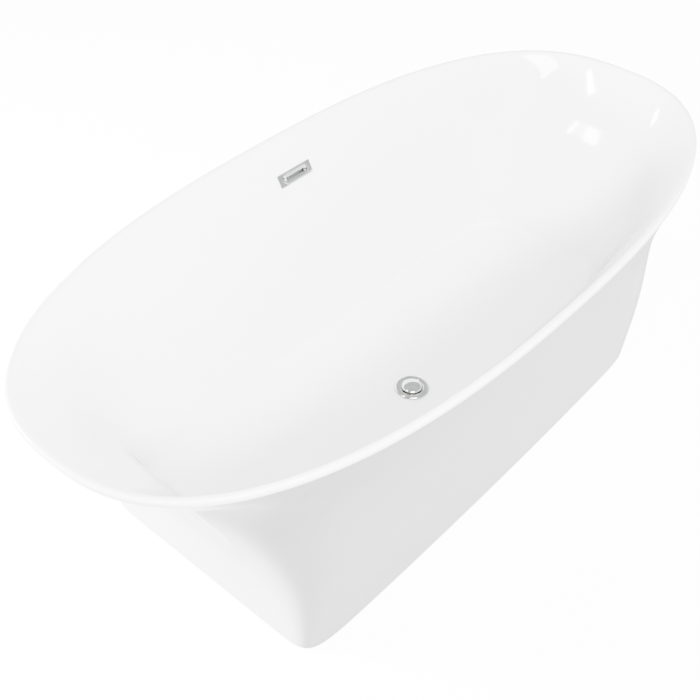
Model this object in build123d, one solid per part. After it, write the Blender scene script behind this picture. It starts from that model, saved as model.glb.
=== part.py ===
from build123d import *
import math
import os

# Freestanding double-ended bathtub: a slim-rimmed oval basin inside an outer skirt that
# narrows to a rounded rectangular base. Frame: X along the tub, Y across it (+Y is the side
# with the overflow), +Z up. The origin is on the floor, under the middle of the tub.
# Everything is in millimetres.

# ---- driving dimensions: the tub as a whole ----
LENGTH = 1700.0
WIDTH = 814.0
HEIGHT = 567.0
BASE_LENGTH = 1176.0
BASE_WIDTH = 606.0
SHELL = 5.0                  # acrylic with its glass-fibre backing, measured level
SEAT_GAP = 0.3               # air left between curved or bonded faces of two pieces

# ---- rim ----
RIM_WIDTH = 12.0
RIM_BAND = 12.0              # height of the upright band round the edge
RIM_ROUND = 5.0
RIM_OVERHANG = 2.0           # the band stands this far out over the skirt
RIM_POWER = 2.49             # superellipse power of the oval

# ---- skirt: how the outline changes between base and rim ----
SKIRT_LIFT = 2.0             # the skirt stops short of the floor, the feet carry the tub
BASE_POWER = 18.0            # near-square corners at the floor
BASE_BOW = 0.031             # share of the width that the long sides lose towards the ends
END_FLARE = 2.42
SIDE_FLARE = 1.1
CORNER_FADE = 2.8

# ---- basin ----
FLOOR_Z = 126.0
FLOOR_RISE = 59.0            # the dished floor is this much higher at its two ends
WALL_FOOT_Z = 116.0
FOOT_LENGTH = 1170.0
FOOT_WIDTH = 454.0
FOOT_POWER = 9.0
FOOT_BOW = 0.31
END_SLOPE = 1.92
SIDE_SLOPE = 1.8
INNER_FADE = 1.6
BOND_DEPTH = 36.0            # adhesive strip that joins basin and skirt under the rim

# ---- support under the floor ----
BOARD_LENGTH = 760.0
BOARD_WIDTH = 330.0
BOARD_THICKNESS = 15.0
BEARER_WIDTH = 40.0
BEARER_OFFSETS = (140.0, 330.0)
BEARER_BASE_Z = 91.0
TUBE = 30.0
TUBE_WALL = 2.0
RAIL_LENGTH = 1000.0
RAIL_SPACING = 280.0         # between the centre lines of the two rails
BEARER_SCREW = 5.0

# ---- levelling feet ----
FOOT_SPACING = 880.0
STUD = 12.0
STUD_LENGTH = 88.0
FOOT_PAD = 50.0
FOOT_PAD_HEIGHT = 8.0
FOOT_SOLE = 4.0
NUT_ACROSS = 19.0
NUT_HEIGHT = 9.0
THREAD_CLEARANCE = 0.25

# ---- drain ----
DRAIN_X = 8.0
DRAIN_Y = -52.0
FLANGE = 78.0
FLANGE_HEIGHT = 3.0
DRAIN_TUBE = 46.0
DRAIN_BORE = 39.0
DRAIN_TUBE_LENGTH = 66.0
DRAIN_SEAL = 1.4
GASKET_HEIGHT = 4.0
DRAIN_WASHER = 2.0
LOCKNUT = 66.0
LOCKNUT_HEIGHT = 10.0
STOPPER = 45.0
STOPPER_DOME = 5.0
STOPPER_EDGE = 2.0
STEM = 7.5
CARTRIDGE = 14.0
CARTRIDGE_LENGTH = 32.0

# ---- waste tee and overflow ----
TEE_BODY = 56.0
TEE_TOP_Z = 92.0
TEE_FOOT_Z = 26.0
OUTLET = 40.0
OUTLET_BORE = 34.0
OUTLET_Z = 8.0
BRANCH_Z = 46.0
BRANCH_REACH = 52.0
SPIGOT = 19.0
SPIGOT_BORE = 15.0
HOSE = 26.0
HOSE_BORE = 19.6
HOSE_NUT = 31.0
HOSE_NUT_LENGTH = 16.0
HOSE_GRIP = 18.0             # length of spigot that the hose is pushed over
OVERFLOW_X = 60.0
OVERFLOW_Z = 490.0
COVER_LENGTH = 100.0
COVER_HEIGHT = 30.0
COVER_THICKNESS = 3.0
BEZEL_LENGTH = 76.0
BEZEL_HEIGHT = 25.0
BEZEL_PROUD = 3.0
SLOT_LENGTH = 58.0
SLOT_HEIGHT = 7.0
OVERFLOW_WINDOW = (66.0, 12.0)
HOUSING = (104.0, 34.0, 11.0)
HOUSING_WALL = 2.0
OVERFLOW_GASKET = 2.0
SCREW = 4.0
SCREW_SPACING = 86.0
SCREW_BITE = 2.0             # how far the screws reach into the back of the cover
SPIGOT_DROP = 44.0           # from the slot down to the housing's spigot block

OUTLINE_POINTS = 88
SECTION_COUNT = 8


def save(node, shape):
    """Write one named piece."""
    export_step(shape, f"parts/{node}.step")


# ---------------------------------------------------------------- outlines and lofts
def outline(half_length, half_width, power, bow, z):
    """Closed superellipse whose long sides draw in towards the ends by the share bow."""
    points = []
    for index in range(OUTLINE_POINTS):
        turn = 2 * math.pi * index / OUTLINE_POINTS
        x, y = math.cos(turn), math.sin(turn)
        reach = (abs(x) ** power + abs(y) ** power) ** (-1 / power)
        x, y = x * reach, y * reach
        points.append((half_length * x, half_width * y * (1 - bow * x * x), z))
    return Wire([Edge.make_spline([Vector(*p) for p in points], periodic=True)])


def blend(start, end, share, power):
    return start + (end - start) * share ** power


SKIRT_TOP_Z = HEIGHT - RIM_BAND


def skirt_size(z):
    """Half-length, half-width, power and bow of the skirt's outside at height z."""
    share = min(z / SKIRT_TOP_Z, 1.0)
    half_length = blend(BASE_LENGTH / 2, LENGTH / 2 - RIM_OVERHANG, share, END_FLARE)
    half_width = blend(BASE_WIDTH / 2, WIDTH / 2 - RIM_OVERHANG, share, SIDE_FLARE)
    power = blend(RIM_POWER, BASE_POWER, 1 - share, CORNER_FADE)
    return half_length, half_width, power, BASE_BOW * (1 - share)


def basin_size(z):
    """Half-length, half-width, power and bow of the basin's inside at height z."""
    share = max((z - WALL_FOOT_Z) / (HEIGHT - WALL_FOOT_Z), 0.0)
    half_length = blend(FOOT_LENGTH / 2, LENGTH / 2 - RIM_WIDTH, share, END_SLOPE)
    half_width = blend(FOOT_WIDTH / 2, WIDTH / 2 - RIM_WIDTH, share, SIDE_SLOPE)
    power = blend(RIM_POWER, FOOT_POWER, 1 - share, INNER_FADE)
    return half_length, half_width, power, FOOT_BOW * (1 - share) ** INNER_FADE


def lofted(size_at, low, high, grow):
    """Solid through the outlines between two heights, each larger all round by grow."""
    wires = []
    for index in range(SECTION_COUNT):
        z = low + (high - low) * index / (SECTION_COUNT - 1)
        half_length, half_width, power, bow = size_at(z)
        wires.append(outline(half_length + grow, half_width + grow, power, bow, z))
    return Solid.make_loft(wires)


FLOOR_REACH = FOOT_LENGTH / 2
FLOOR_RADIUS = (FLOOR_REACH ** 2 + FLOOR_RISE ** 2) / (2 * FLOOR_RISE)


def dish_height(x):
    """Rise of the dished floor above its lowest line, at x."""
    return FLOOR_RADIUS - math.sqrt(FLOOR_RADIUS ** 2 - x ** 2)


def above_dish(lowest, top):
    """Everything above a surface parallel to the dished floor, lowest at z = lowest."""
    reach = LENGTH / 2
    edge_z = lowest + dish_height(reach)
    arc = ThreePointArc((-reach, edge_z), (0, lowest), (reach, edge_z))
    sides = Polyline((reach, edge_z), (reach, top), (-reach, top), (-reach, edge_z))
    profile = Plane.XZ * make_face([arc, sides])
    return extrude(profile, WIDTH / 2, both=True)


# ---------------------------------------------------------------- shells
def basin_back(x, z):
    """Y of the basin's inside on its +Y wall."""
    half_length, half_width, power, bow = basin_size(z)
    share = abs(x) / half_length
    return half_width * (1 - share ** power) ** (1 / power) * (1 - bow * share ** 2)


def overflow_plane():
    """On the basin's inside at the overflow: Z points into the tub, Y up along the wall."""
    step = COVER_LENGTH / 4
    turn_in = basin_back(OVERFLOW_X + step, OVERFLOW_Z) - basin_back(OVERFLOW_X - step, OVERFLOW_Z)
    along = Vector(2 * step, turn_in, 0)
    up = Vector(0, basin_back(OVERFLOW_X, OVERFLOW_Z + 1) - basin_back(OVERFLOW_X, OVERFLOW_Z - 1), 2)
    lean = math.radians(up.get_angle(Vector(0, 0, 1)))
    origin = Vector(OVERFLOW_X, basin_back(OVERFLOW_X, OVERFLOW_Z), OVERFLOW_Z)
    return Plane(origin=origin, x_dir=along, z_dir=along.cross(up)), lean


OVERFLOW, OVERFLOW_LEAN = overflow_plane()
WALL_BEHIND = SHELL * math.cos(OVERFLOW_LEAN)     # the wall's thickness along its normal


def at_overflow(shape):
    return OVERFLOW * shape


def plate(length, height, low, high, corner=0.0):
    """Flat rectangular solid between two distances from the overflow's wall."""
    outline_2d = RectangleRounded(length, height, corner) if corner else Rectangle(length, height)
    return extrude(Pos(0, 0, low) * outline_2d, high - low)


def basin():
    """Inner shell: rolled rim, leaning walls and dished floor, with its two holes."""
    wall = lofted(basin_size, WALL_FOOT_Z - SHELL, HEIGHT - RIM_ROUND, SHELL)
    shell = wall & above_dish(FLOOR_Z - SHELL, HEIGHT)
    rim_outline = outline(LENGTH / 2, WIDTH / 2, RIM_POWER, 0, SKIRT_TOP_Z)
    rim = extrude(make_face(rim_outline), RIM_BAND, dir=(0, 0, 1))
    hollow = lofted(basin_size, WALL_FOOT_Z, HEIGHT, 0) & above_dish(FLOOR_Z, HEIGHT)
    body = shell + rim - hollow
    top_edges = body.edges().group_by(Axis.Z)[-1]
    body = fillet(top_edges, RIM_ROUND)
    drain_hole = Pos(DRAIN_X, DRAIN_Y, FLOOR_Z) * Cylinder(DRAIN_TUBE / 2 + 1, 6 * SHELL)
    window = at_overflow(plate(*OVERFLOW_WINDOW, -3 * SHELL, SHELL, 3))
    holes = [drain_hole, window]
    for side in (-1, 1):
        screw_hole = Pos(side * SCREW_SPACING / 2, 0, 0) * Cylinder(SCREW / 2 + SEAT_GAP, 6 * SHELL)
        holes.append(at_overflow(screw_hole))
    return body - holes


def skirt():
    """Outer shell, open underneath, that meets the rim's underside."""
    top = SKIRT_TOP_Z - SEAT_GAP
    outer = lofted(skirt_size, SKIRT_LIFT, top, 0)
    inner = lofted(skirt_size, SKIRT_LIFT, top, -SHELL)
    return outer - inner


def rim_bond():
    """Adhesive strip between the two shells, just under the rim."""
    top = SKIRT_TOP_Z - SEAT_GAP
    outer = lofted(skirt_size, top - BOND_DEPTH, top, -SHELL - SEAT_GAP)
    inner = lofted(basin_size, top - BOND_DEPTH, top, SHELL + SEAT_GAP)
    return outer - inner


# ---------------------------------------------------------------- support under the floor
BOARD_TOP_Z = FLOOR_Z - SHELL - SEAT_GAP
RAIL_TOP_Z = BEARER_BASE_Z
RAIL_Y = RAIL_SPACING / 2
BEARER_X = [side * x for x in BEARER_OFFSETS for side in (-1, 1)]


def floor_board():
    """Board bonded under the floor, bent to it, with a hole for the drain."""
    blank = Pos(0, 0, BOARD_TOP_Z) * Box(BOARD_LENGTH, BOARD_WIDTH, FLOOR_RISE * 2)
    board = blank & (above_dish(BOARD_TOP_Z - BOARD_THICKNESS, HEIGHT) - above_dish(BOARD_TOP_Z, HEIGHT))
    return board - Pos(DRAIN_X, DRAIN_Y, BOARD_TOP_Z) * Cylinder(LOCKNUT / 2 + 7, 4 * BOARD_THICKNESS)


def bearers():
    """Wooden bearers across the rails, their tops cut to the board."""
    under_board = BOARD_TOP_Z - BOARD_THICKNESS - SEAT_GAP
    pieces = []
    for x in BEARER_X:
        height = under_board + FLOOR_RISE - BEARER_BASE_Z
        blank = Pos(x, 0, BEARER_BASE_Z + height / 2) * Box(BEARER_WIDTH, BOARD_WIDTH, height)
        piece = blank - above_dish(under_board, HEIGHT)
        for side in (-1, 1):
            pilot = Pos(x, side * RAIL_Y, BEARER_BASE_Z) * Cylinder(BEARER_SCREW / 2, 2 * (BEARER_SCREW + 5))
            piece -= pilot
        pieces.append(piece)
    return Compound(pieces)


def bearer_screws():
    """One screw through each rail into each bearer, its head inside the tube."""
    pieces = []
    length = BEARER_SCREW + 5
    for x in BEARER_X:
        for side in (-1, 1):
            base = RAIL_TOP_Z - TUBE_WALL
            shank = Pos(x, side * RAIL_Y, base) * Cylinder(
                BEARER_SCREW / 2 - 0.1, length, align=(Align.CENTER, Align.CENTER, Align.MIN))
            head = Pos(x, side * RAIL_Y, base) * Cylinder(
                BEARER_SCREW, 3, align=(Align.CENTER, Align.CENTER, Align.MAX))
            pieces.append(shank + head)
    return Compound(pieces)


def square_tube(length):
    """Hollow square tube along X, centred on its middle."""
    profile = Plane.YZ * (RectangleRounded(TUBE, TUBE, 3) - Rectangle(TUBE - 2 * TUBE_WALL, TUBE - 2 * TUBE_WALL))
    return extrude(profile, length / 2, both=True)


def rail(side):
    """Long rail with holes for the two feet and the bearer screws."""
    body = Pos(0, side * RAIL_Y, RAIL_TOP_Z - TUBE / 2) * square_tube(RAIL_LENGTH)
    for x in (-FOOT_SPACING / 2, FOOT_SPACING / 2):
        body -= Pos(x, side * RAIL_Y, RAIL_TOP_Z - TUBE / 2) * Cylinder(STUD / 2 + 0.5, 2 * TUBE)
    for x in BEARER_X:
        body -= Pos(x, side * RAIL_Y, RAIL_TOP_Z) * Cylinder(BEARER_SCREW / 2 + 0.2, 3 * TUBE_WALL)
    return body


def end_tubes():
    """Two tubes welded between the rails, one at each end."""
    length = RAIL_SPACING - TUBE
    x = RAIL_LENGTH / 2 - TUBE / 2
    pieces = []
    for side in (-1, 1):
        place = Pos(side * x, 0, RAIL_TOP_Z - TUBE / 2) * Rot(0, 0, 90)
        pieces.append(place * square_tube(length))
    return Compound(pieces)


# ---------------------------------------------------------------- levelling feet
FOOT_PLACES = [(sx * FOOT_SPACING / 2, sy * RAIL_Y) for sx in (-1, 1) for sy in (-1, 1)]
RAIL_BOTTOM_Z = RAIL_TOP_Z - TUBE


def hexagon_nut(hole):
    nut = extrude(RegularPolygon(NUT_ACROSS / 2, 6, major_radius=False), NUT_HEIGHT)
    return nut - Cylinder(hole / 2, 3 * NUT_HEIGHT)


def weld_nuts():
    """Nuts welded under the rails, in which the feet turn."""
    nut = hexagon_nut(STUD + 2 * THREAD_CLEARANCE)
    return Compound([Pos(x, y, RAIL_BOTTOM_Z - NUT_HEIGHT) * nut for x, y in FOOT_PLACES])


def foot(x, y):
    """Threaded stud with its round steel base."""
    base_z = FOOT_SOLE
    base = Pos(x, y, base_z) * Cone(
        FOOT_PAD / 2 - 1, STUD, FOOT_PAD_HEIGHT, align=(Align.CENTER, Align.CENTER, Align.MIN))
    stud = Pos(x, y, base_z) * Cylinder(
        STUD / 2, STUD_LENGTH, align=(Align.CENTER, Align.CENTER, Align.MIN))
    stud = chamfer(stud.edges().sort_by(Axis.Z)[-1], 1)
    return base + stud


def foot_sole(x, y):
    """Rubber disc under the foot."""
    disc = Pos(x, y, 0) * Cylinder(FOOT_PAD / 2, FOOT_SOLE, align=(Align.CENTER, Align.CENTER, Align.MIN))
    return chamfer(disc.edges().group_by(Axis.Z)[0], 1)


# ---------------------------------------------------------------- drain
def ring(outside, inside, low, high):
    """Flat ring about the drain's axis between two heights."""
    body = Cylinder(outside / 2, high - low, align=(Align.CENTER, Align.CENTER, Align.MIN))
    body -= Cylinder(inside / 2, 4 * (high - low))
    return Pos(DRAIN_X, DRAIN_Y, low) * body


DRAIN_FLOOR_Z = FLOOR_Z + dish_height(abs(DRAIN_X) + FLANGE / 2)
SEAL_Z = DRAIN_FLOOR_Z
FLANGE_Z = SEAL_Z + DRAIN_SEAL
TUBE_END_Z = FLANGE_Z - DRAIN_TUBE_LENGTH
GASKET_TOP_Z = FLOOR_Z - SHELL - SEAT_GAP
WASHER_TOP_Z = GASKET_TOP_Z - GASKET_HEIGHT
LOCKNUT_TOP_Z = WASHER_TOP_Z - DRAIN_WASHER
FLANGE_TOP_Z = FLANGE_Z + FLANGE_HEIGHT
CARTRIDGE_TOP_Z = FLANGE_Z - 6.0
HUB = CARTRIDGE + 5.0
SPIDER_HEIGHT = 8.0


def drain_flange():
    """Strainer body: dished flange, threaded tube and a spider with a central hub."""
    half_bore = DRAIN_BORE / 2
    half_flange = FLANGE / 2
    profile = Polyline(
        (half_bore, FLANGE_Z - 4), (half_bore, TUBE_END_Z), (DRAIN_TUBE / 2, TUBE_END_Z),
        (DRAIN_TUBE / 2, FLANGE_Z), (half_flange - 1, FLANGE_Z), (half_flange, FLANGE_Z + 1),
        (half_flange - 4, FLANGE_TOP_Z), (half_bore + 6, FLANGE_TOP_Z), (half_bore, FLANGE_Z - 4))
    body = revolve(Plane.XZ * make_face(profile), Axis.Z)
    hub_low = CARTRIDGE_TOP_Z - SPIDER_HEIGHT - 6
    hub = Pos(0, 0, hub_low) * Cylinder(HUB / 2, SPIDER_HEIGHT, align=(Align.CENTER, Align.CENTER, Align.MIN))
    arm = Pos(0, 0, hub_low) * Box(DRAIN_BORE + 2, 3, SPIDER_HEIGHT, align=(Align.CENTER, Align.CENTER, Align.MIN))
    body = body + hub + arm + Rot(0, 0, 90) * arm
    body -= Pos(0, 0, hub_low) * Cylinder(CARTRIDGE / 2 + 0.1, 6 * SPIDER_HEIGHT)
    return Pos(DRAIN_X, DRAIN_Y, 0) * body


def stopper_cartridge():
    """Click mechanism held in the hub: a collar above it and a sleeve round the stem."""
    sleeve = ring(CARTRIDGE, STEM + 0.6, CARTRIDGE_TOP_Z - CARTRIDGE_LENGTH, CARTRIDGE_TOP_Z)
    collar_z = CARTRIDGE_TOP_Z - 6
    collar = ring(HUB - 1, STEM + 0.6, collar_z, collar_z + 3)
    return sleeve + collar


STOPPER_Z = FLANGE_TOP_Z + SEAT_GAP


def stopper_cap():
    """Domed cap that the toe presses, with the stem under it."""
    half = STOPPER / 2
    edge_z = STOPPER_Z + STOPPER_EDGE
    top_z = edge_z + STOPPER_DOME
    stem_end_z = CARTRIDGE_TOP_Z - CARTRIDGE_LENGTH + 3
    dome_radius = (half ** 2 + STOPPER_DOME ** 2) / (2 * STOPPER_DOME)
    middle_z = top_z - dome_radius + math.sqrt(dome_radius ** 2 - (half / 2) ** 2)
    dome = ThreePointArc((half, edge_z), (half / 2, middle_z), (0, top_z))
    rest = Polyline((0, top_z), (0, stem_end_z), (STEM / 2, stem_end_z), (STEM / 2, STOPPER_Z),
                    (half, STOPPER_Z), (half, edge_z))
    cap = revolve(make_face(Plane.XZ * (dome + rest)), Axis.Z)
    return Pos(DRAIN_X, DRAIN_Y, 0) * cap


def stopper_seal():
    """Rubber washer under the cap that closes the bore."""
    return ring(DRAIN_BORE - 3, STEM + 1, STOPPER_Z - 2.5, STOPPER_Z)


def drain_locknut():
    """Round nut with four wrench notches, under the washer."""
    low = LOCKNUT_TOP_Z - LOCKNUT_HEIGHT
    nut = ring(LOCKNUT, DRAIN_TUBE + 2 * THREAD_CLEARANCE, low, LOCKNUT_TOP_Z)
    for turn in range(4):
        notch = Rot(0, 0, 90 * turn) * Pos(LOCKNUT / 2, 0, 0) * Box(8, 9, 4 * LOCKNUT_HEIGHT)
        nut -= Pos(DRAIN_X, DRAIN_Y, low) * notch
    return nut


# ---------------------------------------------------------------- waste tee
SPIGOT_Y = DRAIN_Y + BRANCH_REACH
TEE_STEP_Z = TUBE_END_Z - 1.0


def waste_tee():
    """Tee under the drain: socket for the tube, outlet to the floor, branch for the hose."""
    socket = Pos(DRAIN_X, DRAIN_Y, TEE_FOOT_Z) * Cylinder(
        TEE_BODY / 2, TEE_TOP_Z - TEE_FOOT_Z, align=(Align.CENTER, Align.CENTER, Align.MIN))
    tail = Pos(DRAIN_X, DRAIN_Y, OUTLET_Z) * Cylinder(
        OUTLET / 2, TEE_TOP_Z - OUTLET_Z, align=(Align.CENTER, Align.CENTER, Align.MIN))
    branch_frame = Plane(origin=(DRAIN_X, DRAIN_Y, BRANCH_Z), x_dir=(1, 0, 0), z_dir=(0, 1, 0))
    branch = branch_frame * Cylinder(SPIGOT / 2, BRANCH_REACH, align=(Align.CENTER, Align.CENTER, Align.MIN))
    boss = branch_frame * Cylinder(
        HOSE / 2, BRANCH_REACH - HOSE_GRIP, align=(Align.CENTER, Align.CENTER, Align.MIN))
    branch_bore = branch_frame * Cylinder(
        SPIGOT_BORE / 2, 2 * BRANCH_REACH, align=(Align.CENTER, Align.CENTER, Align.MIN))
    body = socket + tail + boss + branch - branch_bore
    bore = Pos(DRAIN_X, DRAIN_Y, OUTLET_Z) * Cylinder(
        OUTLET_BORE / 2, 2 * TEE_TOP_Z, align=(Align.CENTER, Align.CENTER, Align.MIN))
    socket_bore = Pos(DRAIN_X, DRAIN_Y, TEE_STEP_Z) * Cylinder(
        DRAIN_TUBE / 2 + THREAD_CLEARANCE, TEE_TOP_Z, align=(Align.CENTER, Align.CENTER, Align.MIN))
    return body - bore - socket_bore


# ---------------------------------------------------------------- overflow
COVER_LOW = SEAT_GAP + 0.1
GASKET_NEAR = -WALL_BEHIND - SEAT_GAP
HOUSING_NEAR = GASKET_NEAR - OVERFLOW_GASKET
HOUSING_FAR = HOUSING_NEAR - HOUSING[2]


def overflow_cover():
    """Rectangular cover plate with a raised round-ended bezel round the slot."""
    body = plate(COVER_LENGTH, COVER_HEIGHT, COVER_LOW, COVER_LOW + COVER_THICKNESS, 2)
    body = fillet(body.edges().group_by(Axis.Z)[-1], 0.8)
    front = COVER_LOW + COVER_THICKNESS
    bezel = extrude(Pos(0, 0, front) * SlotOverall(BEZEL_LENGTH, BEZEL_HEIGHT), BEZEL_PROUD)
    body += fillet(bezel.edges().group_by(Axis.Z)[-1], 1.2)
    body -= plate(SLOT_LENGTH, SLOT_HEIGHT, -SHELL, front + 2 * BEZEL_PROUD, 1)
    for side in (-1, 1):
        body -= Pos(side * SCREW_SPACING / 2, 0, COVER_LOW) * Cylinder(SCREW / 2 + 0.2, 2 * SCREW_BITE + 0.4)
    return at_overflow(body)


def overflow_screws():
    """Two screws from behind, through housing, gasket and wall, into the back of the cover."""
    length = COVER_LOW + SCREW_BITE - HOUSING_FAR
    pieces = []
    for side in (-1, 1):
        x = side * SCREW_SPACING / 2
        shank = Pos(x, 0, HOUSING_FAR) * Cylinder(
            SCREW / 2, length, align=(Align.CENTER, Align.CENTER, Align.MIN))
        head = Pos(x, 0, HOUSING_FAR) * Cylinder(SCREW * 0.9, 1.8, align=(Align.CENTER, Align.CENTER, Align.MAX))
        pieces.append(at_overflow(shank + head))
    return Compound(pieces)


def overflow_gasket():
    """Foam gasket between the wall and the housing."""
    body = plate(HOUSING[0], HOUSING[1], GASKET_NEAR - OVERFLOW_GASKET, GASKET_NEAR, 3)
    body -= plate(*OVERFLOW_WINDOW, GASKET_NEAR - 2 * OVERFLOW_GASKET, GASKET_NEAR + 1, 3)
    for side in (-1, 1):
        body -= Pos(side * SCREW_SPACING / 2, 0, GASKET_NEAR) * Cylinder(SCREW / 2 + 0.2, 20)
    return at_overflow(body)


def gap_middle(z):
    """Y halfway between the basin's back and the skirt's inside, on the long side."""
    return (basin_size(z)[1] + SHELL + skirt_size(z)[1] - SHELL) / 2


HOSE_TOP_Z = OVERFLOW_Z - SPIGOT_DROP - 12.0
HOSE_ROUTE = [
    (OVERFLOW_X, gap_middle(HOSE_TOP_Z), HOSE_TOP_Z),
    (OVERFLOW_X - 8, gap_middle(350), 350),
    (DRAIN_X + 26, gap_middle(260) - 1, 260),
    (DRAIN_X, gap_middle(160) + 1, 160),
    (DRAIN_X, gap_middle(100) - 16, BRANCH_Z),
    (DRAIN_X, SPIGOT_Y - HOSE_GRIP + 0.3, BRANCH_Z),
]


def hose_direction():
    """Unit vector from the hose's first point to its second."""
    return (Vector(*HOSE_ROUTE[1]) - Vector(*HOSE_ROUTE[0])).normalized()


def corner_radii(points):
    """Largest arc at each corner that leaves a tenth of the shorter run straight."""
    radii = []
    for before, corner, after in zip(points, points[1:], points[2:]):
        arriving = Vector(*corner) - Vector(*before)
        leaving = Vector(*after) - Vector(*corner)
        turn = math.radians(arriving.get_angle(leaving))
        radii.append(0.45 * min(arriving.length, leaving.length) / math.tan(turn / 2))
    return radii


def overflow_hose():
    """Hose held between the two shells, from the housing down to the tee."""
    radii = corner_radii(HOSE_ROUTE)
    print("hose arc radii", [round(r) for r in radii])
    path = FilletPolyline(*HOSE_ROUTE, radius=radii)
    start = Plane(origin=HOSE_ROUTE[0], z_dir=hose_direction())
    section = start * (Circle(HOSE / 2) - Circle(HOSE_BORE / 2))
    tube = sweep(section, path=path)
    share = tube.volume / (section.area * path.length)
    print("hose volume over section times length", round(share, 4))
    return tube


def overflow_housing():
    """Flat box behind the wall that leads the water down to the hose's spigot."""
    length, height, depth = HOUSING
    body = plate(length, height, HOUSING_FAR, HOUSING_NEAR, 3)
    cavity = plate(*OVERFLOW_WINDOW, HOUSING_FAR + HOUSING_WALL, HOUSING_NEAR + 1, 3)
    for side in (-1, 1):
        cavity += Pos(side * SCREW_SPACING / 2, 0, HOUSING_NEAR) * Cylinder(SCREW / 2 + 0.1, 4 * depth)
    body = at_overflow(body - cavity)
    top = Vector(*HOSE_ROUTE[0])
    spigot_frame = Plane(origin=top, z_dir=-hose_direction())
    reach = SPIGOT_DROP - 8
    neck = spigot_frame * Cylinder(HOSE / 2 - 3, reach, align=(Align.CENTER, Align.CENTER, Align.MIN))
    spigot = spigot_frame * Pos(0, 0, -HOSE_GRIP) * Cylinder(
        SPIGOT / 2, HOSE_GRIP + 1, align=(Align.CENTER, Align.CENTER, Align.MIN))
    behind_gasket = at_overflow(plate(2 * length, 4 * length, -4 * depth, HOUSING_NEAR))
    neck = neck & behind_gasket
    passage = spigot_frame * Pos(0, 0, -HOSE_GRIP - 1) * Cylinder(
        SPIGOT_BORE / 2, HOSE_GRIP + reach - 4, align=(Align.CENTER, Align.CENTER, Align.MIN))
    return body + neck + spigot - (passage & behind_gasket)


def hose_nut(origin, direction):
    """Knurled nut that grips the hose on a spigot; direction runs along the hose."""
    frame = Plane(origin=origin, z_dir=direction)
    nut = Cylinder(HOSE_NUT / 2, HOSE_NUT_LENGTH, align=(Align.CENTER, Align.CENTER, Align.MIN))
    nut -= Cylinder(HOSE / 2 + 0.2, 4 * HOSE_NUT_LENGTH)
    return frame * nut


# ---------------------------------------------------------------- write every piece
def main():
    os.makedirs("parts", exist_ok=True)
    save("basin", basin())
    save("skirt", skirt())
    save("rim_bond", rim_bond())
    save("floor_board", floor_board())
    save("bearers", bearers())
    save("bearer_screws", bearer_screws())
    save("front_rail", rail(-1))
    save("back_rail", rail(1))
    save("end_tubes", end_tubes())
    save("weld_nuts", weld_nuts())
    for number, (x, y) in enumerate(FOOT_PLACES, start=1):
        save(f"foot_{number}", foot(x, y))
        save(f"foot_sole_{number}", foot_sole(x, y))
    save("drain_flange", drain_flange())
    save("drain_seal", ring(FLANGE - 6, DRAIN_TUBE + 1, SEAL_Z, FLANGE_Z))
    save("drain_gasket", ring(LOCKNUT, DRAIN_TUBE + 0.6, WASHER_TOP_Z, GASKET_TOP_Z))
    save("drain_washer", ring(LOCKNUT, DRAIN_TUBE + 0.6, LOCKNUT_TOP_Z, WASHER_TOP_Z))
    save("drain_locknut", drain_locknut())
    save("stopper_cartridge", stopper_cartridge())
    save("stopper_cap", stopper_cap())
    save("stopper_seal", stopper_seal())
    save("waste_tee", waste_tee())
    save("overflow_cover", overflow_cover())
    save("overflow_screws", overflow_screws())
    save("overflow_gasket", overflow_gasket())
    save("overflow_housing", overflow_housing())
    save("overflow_hose", overflow_hose())
    top_nut = Vector(*HOSE_ROUTE[0]) + hose_direction() * 0.5
    save("upper_hose_nut", hose_nut(top_nut, hose_direction()))
    save("lower_hose_nut", hose_nut((DRAIN_X, SPIGOT_Y - HOSE_GRIP + 0.5, BRANCH_Z), (0, 1, 0)))


main()
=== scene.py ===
import math
import bmesh
import bpy
from mathutils import Matrix, Quaternion, Vector


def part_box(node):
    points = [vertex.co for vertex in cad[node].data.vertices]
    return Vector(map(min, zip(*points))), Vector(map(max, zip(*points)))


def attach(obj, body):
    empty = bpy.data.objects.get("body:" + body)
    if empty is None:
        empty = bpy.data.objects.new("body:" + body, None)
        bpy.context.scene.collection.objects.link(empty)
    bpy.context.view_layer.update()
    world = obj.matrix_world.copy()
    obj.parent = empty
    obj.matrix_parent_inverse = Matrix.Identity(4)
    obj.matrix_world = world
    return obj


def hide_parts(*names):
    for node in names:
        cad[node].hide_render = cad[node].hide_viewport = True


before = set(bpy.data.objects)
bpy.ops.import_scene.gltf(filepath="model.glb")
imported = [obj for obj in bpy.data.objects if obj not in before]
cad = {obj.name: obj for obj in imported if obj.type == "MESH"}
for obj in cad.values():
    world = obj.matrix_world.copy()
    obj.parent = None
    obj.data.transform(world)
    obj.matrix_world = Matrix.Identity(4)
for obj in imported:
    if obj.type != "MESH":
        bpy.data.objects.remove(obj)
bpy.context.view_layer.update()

# ------------------------------------------------------------------ white acrylic
# Basin and skirt are vacuum-formed from one kind of sheet: white sanitary acrylic, cast against
# glass, so its face is a hard gloss. Forming leaves very shallow waves in it, and wiping leaves
# patches a touch duller than the rest.


def shading_group(name, inputs, outputs):
    """Empty shader node group with named sockets."""
    group = bpy.data.node_groups.new(name, "ShaderNodeTree")
    for socket, default in inputs:
        entry = group.interface.new_socket(socket, in_out="INPUT", socket_type="NodeSocketFloat")
        entry.default_value = default
    for socket in outputs:
        group.interface.new_socket(socket, in_out="OUTPUT", socket_type="NodeSocketFloat")
    return group, group.nodes.new("NodeGroupInput"), group.nodes.new("NodeGroupOutput")


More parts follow.
